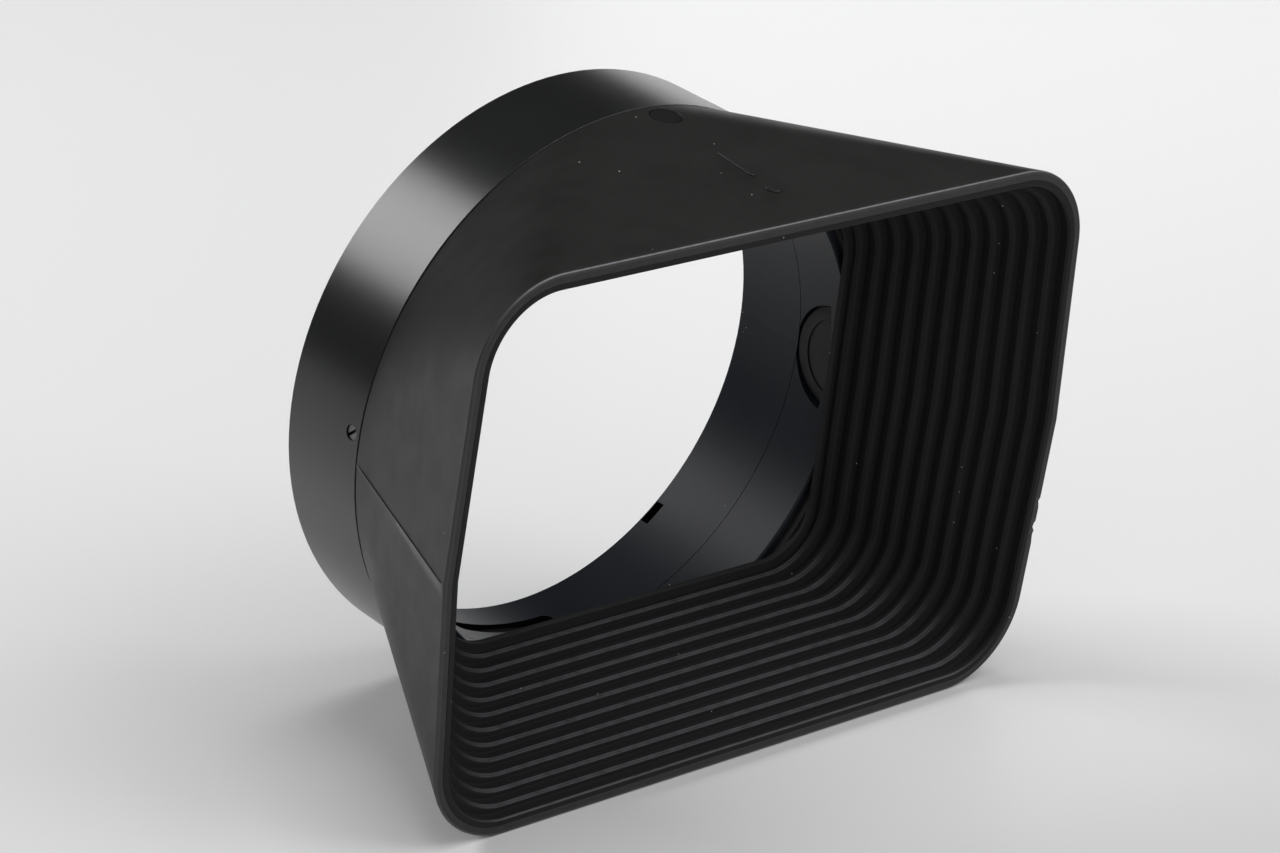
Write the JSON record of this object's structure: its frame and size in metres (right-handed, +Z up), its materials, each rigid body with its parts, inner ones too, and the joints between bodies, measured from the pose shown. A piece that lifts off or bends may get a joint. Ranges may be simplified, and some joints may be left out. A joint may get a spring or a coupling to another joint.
{
  "type": "rectangular lens hood",
  "caption": "Black rectangular lens hood: flared moulded shade with ribbed anti-glare interior on a round metal collar, turning on the collar and locked by slotted grub screws.",
  "frame": {"origin": "centre of the rear opening, on the optical axis", "axes": "+Y along the bore towards the camera, -Y towards the scene, +Z up, +X to the right as seen from in front"},
  "size_m": [0.1014, 0.0459, 0.08],
  "materials": {
    "black_anodised": "satin black anodised, fine turned grain",
    "ring_anodised": "matte blue-grey anodised",
    "shade_plastic": "fine moulded grain, edges worn smooth",
    "baffle_plastic": "flat black with polished rib crests",
    "plug_plastic": "smooth black",
    "tongue_plastic": "smooth black",
    "black_spring_steel": "blackened spring steel",
    "spring_steel": "bright spring steel",
    "pin_brass": "turned brass",
    "screw_steel": "blackened steel with bright slot edges"
  },
  "bodies": {
    "collar_body": {"collar": "black_anodised", "mount_ring": "ring_anodised", "friction_washer": "spring_steel", "grip_spring_lower": "black_spring_steel", "grip_spring_upper": "black_spring_steel", "grip_spring_pins": "pin_brass"},
    "shade_body": {"shade_shell": "shade_plastic", "ribbed_baffle": "baffle_plastic", "throat_sleeve": "ring_anodised", "index_plug": "plug_plastic"},
    "tongue_right": {"snap_tongue_right": "tongue_plastic"},
    "tongue_left": {"snap_tongue_left": "tongue_plastic"},
    "screw_1": {"grub_screw_1": "screw_steel"},
    "screw_2": {"grub_screw_2": "screw_steel"},
    "screw_3": {"grub_screw_3": "screw_steel"}
  },
  "joints": [
    {"name": "shade_turn", "type": "hinge", "parent": "collar_body", "child": "shade_body", "pos_m": [0, -0.01253, 0], "axis": [0, 1, 0], "continuous": true},
    {"name": "tongue_right_snap", "type": "hinge", "parent": "shade_body", "child": "tongue_right", "pos_m": [0.03595, -0.0176, 0.00044], "axis": [0.0122, 0, -0.9999], "range_deg": [0, 4], "stiffness_Nm_per_rad": 0.13, "springref_deg": -1.72},
    {"name": "tongue_left_snap", "type": "hinge", "parent": "shade_body", "child": "tongue_left", "pos_m": [-0.03595, -0.0176, -0.00044], "axis": [-0.0122, 0, 0.9999], "range_deg": [0, 4], "stiffness_Nm_per_rad": 0.13, "springref_deg": -1.72},
    {"name": "screw_1_turn", "type": "hinge", "parent": "collar_body", "child": "screw_1", "pos_m": [-0.0388, -0.01253, 0.00319], "axis": [-0.9966, 0, 0.0819], "range_deg": [0, 360]},
    {"name": "screw_2_turn", "type": "hinge", "parent": "collar_body", "child": "screw_2", "pos_m": [0.02216, -0.01253, 0.03201], "axis": [0.5693, 0, 0.8221], "range_deg": [0, 360]},
    {"name": "screw_3_turn", "type": "hinge", "parent": "collar_body", "child": "screw_3", "pos_m": [0.01664, -0.01253, -0.0352], "axis": [0.4274, 0, -0.9041], "range_deg": [0, 360]}
  ]
}
